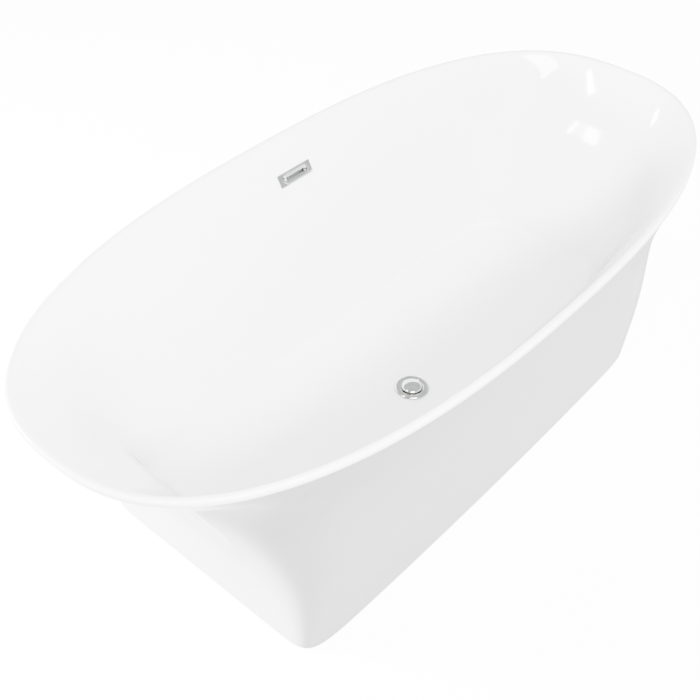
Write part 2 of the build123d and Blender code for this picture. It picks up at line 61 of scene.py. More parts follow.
def sheet_waves():
    """Broad shallow waves of a formed or plated face, and the patches that wiping leaves."""
    group, given, result = shading_group(
        "sheet_waves", [("Wave Scale", 4.0), ("Patch Scale", 9.0)], ["Wave", "Patch"])
    place = group.nodes.new("ShaderNodeTexCoord")
    wave = group.nodes.new("ShaderNodeTexNoise")
    wave.inputs["Detail"].default_value = 2.0
    group.links.new(place.outputs["Object"], wave.inputs["Vector"])
    group.links.new(given.outputs["Wave Scale"], wave.inputs["Scale"])
    group.links.new(wave.outputs["Fac"], result.inputs["Wave"])
    patch = group.nodes.new("ShaderNodeTexNoise")
    patch.inputs["Detail"].default_value = 6.0
    patch.inputs["Distortion"].default_value = 0.6
    group.links.new(place.outputs["Object"], patch.inputs["Vector"])
    group.links.new(given.outputs["Patch Scale"], patch.inputs["Scale"])
    spread = group.nodes.new("ShaderNodeMapRange")
    spread.inputs["From Min"].default_value = 0.35
    spread.inputs["From Max"].default_value = 0.68
    group.links.new(patch.outputs["Fac"], spread.inputs["Value"])
    group.links.new(spread.outputs["Result"], result.inputs["Patch"])
    return group


WAVES = sheet_waves()


def finish(name, group, settings, **constants):
    """New material with its shader's constants set, and one shared group placed beside it."""
    material = bpy.data.materials.new(name)
    material.use_nodes = True
    shader = material.node_tree.nodes["Principled BSDF"]
    for socket, value in constants.items():
        shader.inputs[socket.replace("_", " ").title().replace("Ior", "IOR")].default_value = value
    effect = material.node_tree.nodes.new("ShaderNodeGroup")
    effect.node_tree = group
    for socket, value in settings.items():
        effect.inputs[socket].default_value = value
    return material, shader, effect


def colour_between(material, shader, factor, low, high):
    """Base colour that runs from low to high with a mask."""
    ramp = material.node_tree.nodes.new("ShaderNodeValToRGB")
    ramp.color_ramp.elements[0].color = (*low, 1)
    ramp.color_ramp.elements[1].color = (*high, 1)
    material.node_tree.links.new(factor, ramp.inputs["Fac"])
    material.node_tree.links.new(ramp.outputs["Color"], shader.inputs["Base Color"])


def roughness_between(material, shader, factor, low, high):
    """Roughness that runs from low to high with a mask."""
    spread = material.node_tree.nodes.new("ShaderNodeMapRange")
    spread.inputs["To Min"].default_value = low
    spread.inputs["To Max"].default_value = high
    material.node_tree.links.new(factor, spread.inputs["Value"])
    material.node_tree.links.new(spread.outputs["Result"], shader.inputs["Roughness"])


def relief(material, shader, height, depth, strength):
    """Bump from a height between 0 and 1, depth metres deep."""
    bump = material.node_tree.nodes.new("ShaderNodeBump")
    bump.inputs["Strength"].default_value = strength
    bump.inputs["Distance"].default_value = depth
    material.node_tree.links.new(height, bump.inputs["Height"])
    material.node_tree.links.new(bump.outputs["Normal"], shader.inputs["Normal"])


acrylic, shader, effect = finish(
    "sanitary_acrylic", WAVES, {"Wave Scale": 3.5, "Patch Scale": 7.0},
    ior=1.49, coat_weight=0.35, coat_roughness=0.03)
colour_between(acrylic, shader, effect.outputs["Patch"], (0.845, 0.848, 0.85), (0.865, 0.866, 0.863))
roughness_between(acrylic, shader, effect.outputs["Patch"], 0.055, 0.085)
relief(acrylic, shader, effect.outputs["Wave"], 0.0015, 0.25)

# ------------------------------------------------------------------ basin
# The basin is the inner shell. Its rim is rolled over the skirt, its walls lean out to an oval and meet the
# dished floor in a cove, and its back, rough with glass fibre on the real tub, is given the same gloss
# acrylic here. The drain hole and the overflow's window are cut in it after it is formed.
LENGTH = 1.700
WIDTH = 0.814
HEIGHT = 0.567
SHELL = 0.005
RIM_WIDTH = 0.012
RIM_BAND = 0.012
RIM_POWER = 2.49
WALL_FOOT_Z = 0.116
FOOT_LENGTH = 1.170
FOOT_WIDTH = 0.454
FOOT_POWER = 9.0
FOOT_BOW = 0.31
END_SLOPE = 1.92
SIDE_SLOPE = 1.8
INNER_FADE = 1.6
FLOOR_Z = 0.126
FLOOR_RISE = 0.059
FLOOR_RADIUS = ((FOOT_LENGTH / 2) ** 2 + FLOOR_RISE ** 2) / (2 * FLOOR_RISE)
DRAIN = Vector((0.008, -0.052, 0.0))
DRAIN_HOLE = 0.024
SIDE_COVE = 0.010
CORNER_COVE = 0.020
BACK_ROUND = 0.0015
AROUND = 384


def outline_point(turn, half_length, half_width, power, bow, z):
    """Point at an angle on a superellipse whose long sides draw in towards the ends."""
    x, y = math.cos(turn), math.sin(turn)
    reach = (abs(x) ** power + abs(y) ** power) ** (-1 / power)
    x, y = x * reach, y * reach
    return Vector((half_length * x, half_width * y * (1 - bow * x * x), z))


def wall_outline(z):
    """Half length, half width, power and bow of the basin's inside at a height."""
    share = max((z - WALL_FOOT_Z) / (HEIGHT - WALL_FOOT_Z), 0.0)
    half_length = FOOT_LENGTH / 2 + (LENGTH / 2 - RIM_WIDTH - FOOT_LENGTH / 2) * share ** END_SLOPE
    half_width = FOOT_WIDTH / 2 + (WIDTH / 2 - RIM_WIDTH - FOOT_WIDTH / 2) * share ** SIDE_SLOPE
    fade = (1 - share) ** INNER_FADE
    return half_length, half_width, RIM_POWER + (FOOT_POWER - RIM_POWER) * fade, FOOT_BOW * fade


def wall_point(turn, z, grow=0.0):
    """Point on the basin's wall at a height, or grow metres outside it."""
    half_length, half_width, power, bow = wall_outline(z)
    return outline_point(turn, half_length + grow, half_width + grow, power, bow, z)


def rim_point(turn, inset, z):
    """Point on the rim, a distance in from its outer edge."""
    return outline_point(turn, LENGTH / 2 - inset, WIDTH / 2 - inset, RIM_POWER, 0, z)


def floor_point(x, y, drop=0.0):
    """Point on the dished floor, or drop metres under it."""
    return Vector((x, y, FLOOR_Z + FLOOR_RADIUS - math.sqrt(FLOOR_RADIUS ** 2 - x * x) - drop))


def wall_foot(turn, grow=0.0):
    """Where the wall meets the floor at an angle, or where their backs meet."""
    z = FLOOR_Z
    for _ in range(20):
        foot = wall_point(turn, z, grow)
        z = floor_point(foot.x, foot.y, grow).z
    return foot


def bend(start, corner, end, steps):
    """Points along a curve that leaves start and reaches end heading through the corner."""
    shares = [index / steps for index in range(steps + 1)]
    return [start * (1 - t) ** 2 + corner * 2 * t * (1 - t) + end * t * t for t in shares]


def run_to_drain(start, turn, drop, steps):
    """Points along the floor from start to the edge of the drain hole."""
    edge = DRAIN + Vector((math.cos(turn), math.sin(turn), 0)) * DRAIN_HOLE
    points = []
    for index in range(1, steps + 1):
        spot = start.lerp(edge, index / steps)
        points.append(floor_point(spot.x, spot.y, drop))
    return points


def basin_profile(turn):
    """Closed line round the thickness of the shell at one angle."""
    half_rim = RIM_WIDTH / 2
    outside = bend(rim_point(turn, 0, HEIGHT - half_rim), rim_point(turn, 0, HEIGHT),
                   rim_point(turn, half_rim, HEIGHT), 8)
    lip = bend(outside[-1], rim_point(turn, RIM_WIDTH, HEIGHT), wall_point(turn, HEIGHT - half_rim), 8)
    foot = wall_foot(turn)
    cove = SIDE_COVE + (CORNER_COVE - SIDE_COVE) * abs(math.sin(2 * turn)) ** 3
    cove_top = foot.z + cove
    drop = cove_top - HEIGHT + half_rim
    wall = [wall_point(turn, HEIGHT - half_rim + drop * index / 44) for index in range(1, 44)]
    inward = (DRAIN - Vector((foot.x, foot.y, 0))).normalized() * cove
    cove_line = bend(wall_point(turn, cove_top), foot, floor_point(foot.x + inward.x, foot.y + inward.y), 8)
    floor_line = run_to_drain(cove_line[-1], turn, 0, 24)
    back_foot = wall_foot(turn, SHELL)
    under_floor = run_to_drain(back_foot, turn, SHELL, 10)
    back_top = HEIGHT - RIM_BAND
    rise = back_top - back_foot.z
    back = [wall_point(turn, back_foot.z + rise * index / 16, SHELL) for index in range(17)]
    under_rim = bend(rim_point(turn, BACK_ROUND, back_top), rim_point(turn, 0, back_top),
                     rim_point(turn, 0, back_top + BACK_ROUND), 3)
    return outside[:-1] + lip + wall + cove_line + floor_line + under_floor[::-1] + back + under_rim


def mesh_object(name, points, faces):
    """Object from points and faces, shaded smooth, its faces turned outwards."""
    mesh = bpy.data.meshes.new(name)
    mesh.from_pydata(points, [], faces)
    work = bmesh.new()
    work.from_mesh(mesh)
    bmesh.ops.remove_doubles(work, verts=work.verts, dist=1e-6)
    bmesh.ops.recalc_face_normals(work, faces=work.faces)
    work.to_mesh(mesh)
    work.free()
    mesh.shade_smooth()
    piece = bpy.data.objects.new(name, mesh)
    bpy.context.scene.collection.objects.link(piece)
    return piece


def ring_of_profiles(name, profile, around):
    """Closed ring whose section at each angle is a closed line of points."""
    lines = [profile(2 * math.pi * index / around) for index in range(around)]
    count = len(lines[0])
    faces = []
    for index in range(around):
        here, there = index * count, (index + 1) % around * count
        for k in range(count):
            m = (k + 1) % count
            faces.append((here + k, there + k, there + m, here + m))
    return mesh_object(name, [point for line in lines for point in line], faces)


def settle(piece):
    """Applies a piece's modifiers and leaves one plain mesh."""
    bpy.context.view_layer.update()
    made = bpy.data.meshes.new_from_object(piece.evaluated_get(bpy.context.evaluated_depsgraph_get()))
    piece.modifiers.clear()
    piece.data = made
    return piece


def crease_at(piece, degrees):
    """Smooth shading, except along edges sharper than an angle."""
    piece.data.set_sharp_from_angle(angle=math.radians(degrees))


basin = ring_of_profiles("basin_shell", basin_profile, AROUND)

OVERFLOW_X = 0.060
OVERFLOW_Z = 0.490
WINDOW_LENGTH = 0.066
WINDOW_HEIGHT = 0.012
WINDOW_CORNER = 0.003


def basin_back(x, z):
    """Y of the basin's inside on the overflow's wall."""
    half_length, half_width, power, bow = wall_outline(z)
    along = abs(x) / half_length
    return half_width * (1 - along ** power) ** (1 / power) * (1 - bow * along ** 2)


def overflow_frame():
    """Frame on the wall at the overflow: X along the tub, Y up the wall, Z into the tub."""
    x, z = OVERFLOW_X, OVERFLOW_Z
    along = Vector((0.05, basin_back(x + 0.025, z) - basin_back(x - 0.025, z), 0)).normalized()
    up = Vector((0, basin_back(x, z + 0.001) - basin_back(x, z - 0.001), 0.002))
    out = along.cross(up).normalized()
    on_wall = Matrix((along, out.cross(along), out)).transposed().to_4x4()
    on_wall.translation = Vector((x, basin_back(x, z), z))
    return on_wall


OVERFLOW = overflow_frame()


def rounded_outline(length, height, corner, per_corner=8):
    """Corner-rounded rectangle, as points in order."""
    points = []
    for quarter in range(4):
        cx = (length / 2 - corner) * (1 if quarter in (0, 3) else -1)
        cy = (height / 2 - corner) * (1 if quarter in (0, 1) else -1)
        for index in range(per_corner + 1):
            turn = math.pi / 2 * (quarter + index / per_corner)
            points.append((cx + corner * math.cos(turn), cy + corner * math.sin(turn)))
    return points


def prism(name, outline, low, high):
    """Straight solid on an outline between two heights."""
    count = len(outline)
    points = [(x, y, z) for z in (low, high) for x, y in outline]
    faces = [tuple(range(count)), tuple(range(count, 2 * count))]
    faces += [(k, (k + 1) % count, count + (k + 1) % count, count + k) for k in range(count)]
    return mesh_object(name, points, faces)


window_line = rounded_outline(WINDOW_LENGTH, WINDOW_HEIGHT, WINDOW_CORNER)
window = prism("window_cutter", window_line, -0.015, 0.006)
window.data.transform(OVERFLOW)
cut = basin.modifiers.new("window", "BOOLEAN")
cut.operation = "DIFFERENCE"
cut.solver = "EXACT"
cut.object = window
settle(basin)
bpy.data.objects.remove(window)
crease_at(basin, 40)
basin.data.materials.clear()
basin.data.materials.append(acrylic)
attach(basin, "tub")
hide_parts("basin")

# ------------------------------------------------------------------ skirt
# The skirt is the outer shell, formed in one piece from the same acrylic and bonded to the basin
# under the rim. It leaves the oval rim and draws in to a nearly rectangular foot, whose corners
# sharpen on the way down. Its lower edge is trimmed square and stands just clear of the floor.
SKIRT_FACTS = {
    "Low": 0.002,
    "Top": HEIGHT - RIM_BAND - 0.0003,
    "Fade Height": HEIGHT - RIM_BAND,
    "Base Half Length": 0.588,
    "Base Half Width": 0.303,
    "Top Half Length": LENGTH / 2 - 0.002,
    "Top Half Width": WIDTH / 2 - 0.002,
    "End Flare": 2.42,
    "Side Flare": 1.1,
    "Top Power": RIM_POWER,
    "Base Power": 18.0,
    "Corner Fade": 2.8,
    "Base Bow": 0.031,
}


def skirt_tree():
    """A sheet of points wrapped round the tub: superellipses that change with height."""
    tree = bpy.data.node_groups.new("skirt_wrap", "GeometryNodeTree")
    tree.interface.new_socket("Geometry", in_out="INPUT", socket_type="NodeSocketGeometry")
    for name, value in SKIRT_FACTS.items():
        tree.interface.new_socket(name, in_out="INPUT", socket_type="NodeSocketFloat").default_value = value
    tree.interface.new_socket("Finish", in_out="INPUT", socket_type="NodeSocketMaterial")
    tree.interface.new_socket("Geometry", in_out="OUTPUT", socket_type="NodeSocketGeometry")
    given = tree.nodes.new("NodeGroupInput").outputs
    result = tree.nodes.new("NodeGroupOutput")

    def calc(operation, first, second=0.0):
        node = tree.nodes.new("ShaderNodeMath")
        node.operation = operation
        for socket, value in zip(node.inputs, (first, second)):
            if isinstance(value, (int, float)):
                socket.default_value = value
            else:
                tree.links.new(value, socket)
        return node.outputs[0]

    def between(start, end, share):
        return calc("ADD", start, calc("MULTIPLY", calc("SUBTRACT", end, start), share))

    sheet = tree.nodes.new("GeometryNodeMeshGrid")
    sheet.inputs["Size X"].default_value = 1.0
    sheet.inputs["Size Y"].default_value = 1.0
    sheet.inputs["Vertices X"].default_value = AROUND + 1
    sheet.inputs["Vertices Y"].default_value = 61
    place = tree.nodes.new("ShaderNodeSeparateXYZ")
    tree.links.new(tree.nodes.new("GeometryNodeInputPosition").outputs[0], place.inputs[0])
    turn = calc("MULTIPLY", calc("ADD", place.outputs["X"], 0.5), 2 * math.pi)
    z = between(given["Low"], given["Top"], calc("ADD", place.outputs["Y"], 0.5))
    share = calc("DIVIDE", z, given["Fade Height"])
    left = calc("MAXIMUM", calc("SUBTRACT", 1.0, share), 0.0)
    end_share = calc("POWER", share, given["End Flare"])
    side_share = calc("POWER", share, given["Side Flare"])
    half_length = between(given["Base Half Length"], given["Top Half Length"], end_share)
    half_width = between(given["Base Half Width"], given["Top Half Width"], side_share)
    power = between(given["Top Power"], given["Base Power"], calc("POWER", left, given["Corner Fade"]))
    bow = calc("MULTIPLY", given["Base Bow"], left)
    x, y = calc("COSINE", turn), calc("SINE", turn)
    spread = calc("ADD", calc("POWER", calc("ABSOLUTE", x), power), calc("POWER", calc("ABSOLUTE", y), power))
    reach = calc("POWER", spread, calc("DIVIDE", -1.0, power))
    x, y = calc("MULTIPLY", x, reach), calc("MULTIPLY", y, reach)
    drawn_in = calc("SUBTRACT", 1.0, calc("MULTIPLY", bow, calc("MULTIPLY", x, x)))
    spot = tree.nodes.new("ShaderNodeCombineXYZ")
    tree.links.new(calc("MULTIPLY", x, half_length), spot.inputs["X"])
    tree.links.new(calc("MULTIPLY", calc("MULTIPLY", y, half_width), drawn_in), spot.inputs["Y"])
    tree.links.new(z, spot.inputs["Z"])
    steps = [("GeometryNodeSetPosition", "Geometry"), ("GeometryNodeMergeByDistance", "Geometry"),
             ("GeometryNodeSetShadeSmooth", "Geometry"), ("GeometryNodeRealizeInstances", "Geometry"),
             ("GeometryNodeSetMaterial", "Geometry")]
    shape = sheet.outputs["Mesh"]
    for kind, socket in steps:
        node = tree.nodes.new(kind)
        tree.links.new(shape, node.inputs[socket])
        shape = node.outputs[0]
        if kind == "GeometryNodeSetPosition":
            tree.links.new(spot.outputs[0], node.inputs["Position"])
        if kind == "GeometryNodeMergeByDistance":
            node.inputs["Distance"].default_value = 1e-5
        if kind == "GeometryNodeSetMaterial":
            tree.links.new(given["Finish"], node.inputs["Material"])
    tree.links.new(shape, result.inputs[0])
    return tree


def grown(name, tree, **values):
    """Object made by a Geometry Nodes tree, before it is turned into a plain mesh."""
    piece = bpy.data.objects.new(name, bpy.data.meshes.new(name))
    modifier = piece.modifiers.new("grown", "NODES")
    modifier.node_group = tree
    for item in tree.interface.items_tree:
        key = item.name.replace(" ", "_")
        if item.in_out == "INPUT" and key in values:
            modifier[item.identifier] = values[key]
    bpy.context.scene.collection.objects.link(piece)
    return piece


skirt_values = {name.replace(" ", "_"): value for name, value in SKIRT_FACTS.items()}
skirt = grown("skirt_shell", skirt_tree(), Finish=acrylic, **skirt_values)
wall = skirt.modifiers.new("wall", "SOLIDIFY")
wall.thickness = SHELL
wall.offset = -1.0
trim = skirt.modifiers.new("trim", "BEVEL")
trim.width = 0.0008
trim.segments = 2
trim.limit_method = "ANGLE"
trim.angle_limit = math.radians(50)
settle(skirt)
crease_at(skirt, 40)
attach(skirt, "tub")
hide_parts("skirt")

# ------------------------------------------------------------------ chromed fittings
# The drain's strainer body, its push cap and the overflow cover are brass, turned or pressed and
# then plated with bright chrome. The strainer is screwed down through the floor on a rubber seal,
# the cap rides on the click cartridge in its hub, and the cover is held from behind.
chrome, shader, effect = finish(
    "bright_chrome", WAVES, {"Wave Scale": 30.0, "Patch Scale": 60.0}, metallic=1.0)
colour_between(chrome, shader, effect.outputs["Patch"], (0.62, 0.63, 0.65), (0.70, 0.71, 0.72))
roughness_between(chrome, shader, effect.outputs["Patch"], 0.05, 0.11)
relief(chrome, shader, effect.outputs["Wave"], 0.0004, 0.15)


def lathe(name, section, centre, around=128):
    """Turned piece: a closed section of radius and height, swept round a vertical axis."""
    def profile(turn):
        return [Vector((centre.x + r * math.cos(turn), centre.y + r * math.sin(turn), z)) for r, z in section]
    return ring_of_profiles(name, profile, around)


def turned_arc(centre_r, centre_z, radius, start, end, steps):
    """Points of a section along an arc, angles in degrees from outwards, upwards positive."""
    angles = [math.radians(start + (end - start) * k / steps) for k in range(steps + 1)]
    return [(centre_r + radius * math.cos(a), centre_z + radius * math.sin(a)) for a in angles]


FLANGE_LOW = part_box("drain_flange")[1].z - 0.003
FLANGE_RADIUS = 0.039
BORE = 0.0195
TUBE_RADIUS = 0.023
TUBE_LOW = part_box("drain_flange")[0].z
flange_section = [(BORE, TUBE_LOW), (TUBE_RADIUS, TUBE_LOW), (TUBE_RADIUS, FLANGE_LOW)]
flange_section += [(FLANGE_RADIUS - 0.0006, FLANGE_LOW)]
flange_section += turned_arc(FLANGE_RADIUS - 0.001, FLANGE_LOW + 0.001, 0.001, -60, 50, 5)
flange_section += turned_arc(0.0345, FLANGE_LOW - 0.0005, 0.0035, 48, 90, 6)
flange_section += turned_arc(0.0275, FLANGE_LOW - 0.0005, 0.0035, 100, 160, 8)
flange_section += [(0.0222, FLANGE_LOW - 0.0016), (0.0205, FLANGE_LOW - 0.003), (BORE, FLANGE_LOW - 0.005)]
flange = lathe("strainer_body", flange_section, DRAIN)
HUB_HIGH = FLANGE_LOW - 0.012
HUB_LOW = HUB_HIGH - 0.008
HUB_BORE = 0.0072
HUB_RADIUS = 0.0095
hub = lathe("strainer_hub", [(HUB_BORE, HUB_LOW), (HUB_RADIUS, HUB_LOW), (HUB_RADIUS, HUB_HIGH - 0.0006),
                             (HUB_RADIUS - 0.0006, HUB_HIGH), (HUB_BORE, HUB_HIGH)], DRAIN, 64)
spokes = [hub]
for quarter in range(4):
    spoke = prism("spoke", rounded_outline(0.0125, 0.003, 0.0008, 3), HUB_LOW, HUB_HIGH)
    turned = Matrix.Rotation(math.pi / 2 * quarter, 4, "Z") @ Matrix.Translation((0.0143, 0, 0))
    spoke.data.transform(Matrix.Translation(DRAIN) @ turned)
    spokes.append(spoke)


def joined(base, others):
    """One object from several, each of them kept as its own closed shell."""
    work = bmesh.new()
    work.from_mesh(base.data)
    for other in others:
        work.from_mesh(other.data)
        bpy.data.objects.remove(other)
    work.to_mesh(base.data)
    work.free()
    return base


joined(flange, spokes)
crease_at(flange, 35)
flange.data.materials.append(chrome)
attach(flange, "tub")
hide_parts("drain_flange")

CAP_LOW = FLANGE_LOW + 0.0033
CAP_RADIUS = 0.0225
CAP_TOP = CAP_LOW + 0.007
STEM_RADIUS = 0.00375
STEM_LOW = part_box("stopper_cap")[0].z
dome = [(CAP_RADIUS * math.sin(a), CAP_LOW + 0.002 + 0.005 * math.cos(a)) for a in
        [math.radians(90 - 88.5 * k / 20) for k in range(21)]]
cap_section = [(0.0002, CAP_TOP), (0.0002, STEM_LOW), (0.0033, STEM_LOW), (STEM_RADIUS, STEM_LOW + 0.0005),
               (STEM_RADIUS, CAP_LOW), (CAP_RADIUS - 0.0008, CAP_LOW)]
cap_section += turned_arc(CAP_RADIUS - 0.0008, CAP_LOW + 0.0008, 0.0008, -60, 0, 4) + dome
cap = lathe("push_cap", cap_section, DRAIN)
crease_at(cap, 35)
cap.data.materials.append(chrome)
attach(cap, "stopper")
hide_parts("stopper_cap")

COVER_LOW = 0.0004
COVER_FACE = COVER_LOW + 0.003
BEZEL_FACE = COVER_FACE + 0.003


def terrace(name, steps, per_corner=12):
    """Ring of stacked outlines (length, height, corner, level), joined into a closed shell."""
    lines = [[Vector((x, y, level)) for x, y in rounded_outline(length, height, corner, per_corner)]
             for length, height, corner, level in steps]
    around = len(lines[0])
    points = [point for line in lines for point in line]
    faces = []
    for index in range(len(lines)):
        here, there = index * around, (index + 1) % len(lines) * around
        for k in range(around):
            m = (k + 1) % around
            faces.append((here + k, here + m, there + m, there + k))
    return mesh_object(name, points, faces)


cover = terrace("overflow_plate", [
    (0.0580, 0.0070, 0.0030, COVER_LOW),
    (0.0992, 0.0292, 0.0016, COVER_LOW),
    (0.1000, 0.0300, 0.0020, COVER_LOW + 0.0004),
    (0.1000, 0.0300, 0.0020, COVER_FACE - 0.0008),
    (0.0996, 0.0296, 0.0018, COVER_FACE - 0.0002),
    (0.0986, 0.0286, 0.0014, COVER_FACE),
    (0.0766, 0.0256, 0.0128, COVER_FACE),
    (0.0760, 0.0250, 0.0125, COVER_FACE + 0.0004),
    (0.0760, 0.0250, 0.0125, BEZEL_FACE - 0.0012),
    (0.0752, 0.0242, 0.0121, BEZEL_FACE - 0.0004),
    (0.0738, 0.0228, 0.0114, BEZEL_FACE),
    (0.0700, 0.0190, 0.0095, BEZEL_FACE),
    (0.0660, 0.0150, 0.0074, BEZEL_FACE - 0.0012),
    (0.0600, 0.0090, 0.0044, BEZEL_FACE - 0.0022),
    (0.0580, 0.0070, 0.0034, BEZEL_FACE - 0.0028),
])
cover.data.transform(OVERFLOW)
crease_at(cover, 50)
cover.data.materials.append(chrome)
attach(cover, "tub")
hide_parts("overflow_cover")

# ------------------------------------------------------------------ rubber seals and soles
# The seals, gaskets and the soles of the feet are moulded from black rubber. They are pressed
# between the pieces they seal, and their faces keep the fine matt grain of the mould.


def fine_grain():
    """Even mould grain, with a broad mask for dust and use."""
    group, given, result = shading_group(
        "fine_grain", [("Grain Scale", 900.0), ("Dust Scale", 14.0)], ["Grain", "Dust"])
    place = group.nodes.new("ShaderNodeTexCoord")
    grain = group.nodes.new("ShaderNodeTexNoise")
    grain.inputs["Detail"].default_value = 3.0
    dust = group.nodes.new("ShaderNodeTexNoise")
    dust.inputs["Detail"].default_value = 5.0
    spread = group.nodes.new("ShaderNodeMapRange")
    spread.inputs["From Min"].default_value = 0.38
    spread.inputs["From Max"].default_value = 0.66
    for node, scale in ((grain, "Grain Scale"), (dust, "Dust Scale")):
        group.links.new(place.outputs["Object"], node.inputs["Vector"])
        group.links.new(given.outputs[scale], node.inputs["Scale"])
    group.links.new(grain.outputs["Fac"], result.inputs["Grain"])
    group.links.new(dust.outputs["Fac"], spread.inputs["Value"])
    group.links.new(spread.outputs["Result"], result.inputs["Dust"])
    return group


GRAIN = fine_grain()


def grained(name, grain_scale, dust_scale, dark, light, smooth, rough, depth, **constants):
    """Finish with an even grain whose colour and roughness shift a little with dust."""
    made, shader, effect = finish(
        name, GRAIN, {"Grain Scale": grain_scale, "Dust Scale": dust_scale}, **constants)
    colour_between(made, shader, effect.outputs["Dust"], dark, light)
    roughness_between(made, shader, effect.outputs["Dust"], smooth, rough)
    relief(made, shader, effect.outputs["Grain"], depth, 0.4)
    return made


def give(material, *names):
    """Puts a finish on nodes whose shape is already right."""
    for name in names:
        cad[name].data.materials.clear()
        cad[name].data.materials.append(material)


rubber = grained("black_rubber", 900, 30, (0.018, 0.018, 0.019), (0.045, 0.044, 0.042),
                 0.55, 0.78, 0.0001)
give(rubber, "drain_seal", "drain_gasket", "stopper_seal")
give(rubber, "foot_sole_1", "foot_sole_2", "foot_sole_3", "foot_sole_4")

# The overflow's gasket seals the window from behind the wall. Its thin collar of black rubber, which lines
# the window in the wall up to the cover, is painted shade: a dark lining that makes the slot behind the cover
# read dark where it is only deep.
WALL_BACK = -SHELL * OVERFLOW.col[1].z - 0.0003
gasket = terrace("collared_gasket", [
    (0.0600, 0.0085, 0.0020, 0.0002),
    (0.0652, 0.0112, 0.0026, 0.0002),
    (0.0652, 0.0112, 0.0026, WALL_BACK),
    (0.1036, 0.0336, 0.0028, WALL_BACK),
    (0.1040, 0.0340, 0.0030, WALL_BACK - 0.0003),
    (0.1040, 0.0340, 0.0030, WALL_BACK - 0.0017),
    (0.1036, 0.0336, 0.0028, WALL_BACK - 0.0020),
    (0.0600, 0.0085, 0.0020, WALL_BACK - 0.0020),
])
gasket.data.transform(OVERFLOW)
crease_at(gasket, 50)
gasket.data.materials.append(rubber)
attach(gasket, "tub")
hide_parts("overflow_gasket")

# ------------------------------------------------------------------ waste and overflow pipes
# Tee, overflow housing and hose nuts are injection-moulded white polypropylene, screwed together
# by hand. The washer and the hose are a softer grey polyethylene.
pipe_white = grained("moulded_polypropylene", 650, 12, (0.80, 0.80, 0.78), (0.86, 0.86, 0.845),
                     0.36, 0.5, 0.00008)
pipe_grey = grained("flexible_polyethylene", 500, 18, (0.36, 0.37, 0.38), (0.43, 0.44, 0.45),
                    0.4, 0.55, 0.0001)
give(pipe_white, "waste_tee", "overflow_housing", "upper_hose_nut", "lower_hose_nut")
give(pipe_grey, "drain_washer", "overflow_hose")

# ------------------------------------------------------------------ turned brass
# The lock nut and the click cartridge are turned from brass bar and left bare, so the tool's fine
# rings show round their axis and the metal has dulled in patches.
brass, shader, effect = finish(
    "turned_brass", GRAIN, {"Grain Scale": 400.0, "Dust Scale": 45.0}, metallic=1.0)
colour_between(brass, shader, effect.outputs["Dust"], (0.62, 0.42, 0.16), (0.78, 0.58, 0.27))
roughness_between(brass, shader, effect.outputs["Dust"], 0.22, 0.4)
place = brass.node_tree.nodes.new("ShaderNodeTexCoord")
centre = brass.node_tree.nodes.new("ShaderNodeMapping")
centre.inputs["Location"].default_value = (-DRAIN.x, -DRAIN.y, 0)
rings = brass.node_tree.nodes.new("ShaderNodeTexWave")
rings.wave_type = "RINGS"
rings.rings_direction = "Z"
rings.inputs["Scale"].default_value = 420.0
brass.node_tree.links.new(place.outputs["Object"], centre.inputs["Vector"])
brass.node_tree.links.new(centre.outputs["Vector"], rings.inputs["Vector"])
relief(brass, shader, rings.outputs["Fac"], 0.00008, 0.3)
give(brass, "drain_locknut", "stopper_cartridge")

# ------------------------------------------------------------------ frame and feet
# Two rails and two end tubes of square steel are welded into a frame and powder-coated grey. The
# feet turn in zinc-plated nuts welded under it, and zinc-plated screws hold the bearers.
coat = grained("grey_powder_coat", 700, 9, (0.40, 0.42, 0.43), (0.46, 0.48, 0.49), 0.38, 0.52, 0.0002)
give(coat, "front_rail", "back_rail", "end_tubes")

zinc, shader, effect = finish("zinc_plate", GRAIN, {"Grain Scale": 500.0, "Dust Scale": 80.0}, metallic=1.0)
colour_between(zinc, shader, effect.outputs["Dust"], (0.56, 0.57, 0.60), (0.72, 0.73, 0.73))
roughness_between(zinc, shader, effect.outputs["Dust"], 0.26, 0.42)
relief(zinc, shader, effect.outputs["Grain"], 0.00005, 0.3)
give(zinc, "weld_nuts", "bearer_screws", "overflow_screws", "foot_1", "foot_2", "foot_3", "foot_4")

# ------------------------------------------------------------------ board and bearers
# A resin-coated plywood board is bonded under the floor, and sawn softwood bearers carry it on the
# frame. Both show their grain along their length.


def wood_grain():
    """Long fibres with slow rings across them, running along X or Y."""
    group, given, result = shading_group(
        "wood_grain", [("Along Y", 0.0), ("Ring Scale", 9.0)], ["Tone", "Fibre"])
    place = group.nodes.new("ShaderNodeTexCoord")
    turned = group.nodes.new("ShaderNodeMapping")
    turned.inputs["Scale"].default_value = (1.0, 14.0, 14.0)
    turn = group.nodes.new("ShaderNodeVectorRotate")
    turn.rotation_type = "Z_AXIS"
    quarter = group.nodes.new("ShaderNodeMath")
    quarter.operation = "MULTIPLY"
    quarter.inputs[1].default_value = math.pi / 2
    group.links.new(given.outputs["Along Y"], quarter.inputs[0])
    group.links.new(quarter.outputs[0], turn.inputs["Angle"])
    group.links.new(place.outputs["Object"], turn.inputs["Vector"])
    group.links.new(turn.outputs["Vector"], turned.inputs["Vector"])
    ring = group.nodes.new("ShaderNodeTexNoise")
    ring.inputs["Detail"].default_value = 4.0
    ring.inputs["Distortion"].default_value = 1.2
    fibre = group.nodes.new("ShaderNodeTexNoise")
    fibre.inputs["Scale"].default_value = 60.0
    fibre.inputs["Detail"].default_value = 6.0
    group.links.new(given.outputs["Ring Scale"], ring.inputs["Scale"])
    for node in (ring, fibre):
        group.links.new(turned.outputs["Vector"], node.inputs["Vector"])
    group.links.new(ring.outputs["Fac"], result.inputs["Tone"])
    group.links.new(fibre.outputs["Fac"], result.inputs["Fibre"])
    return group


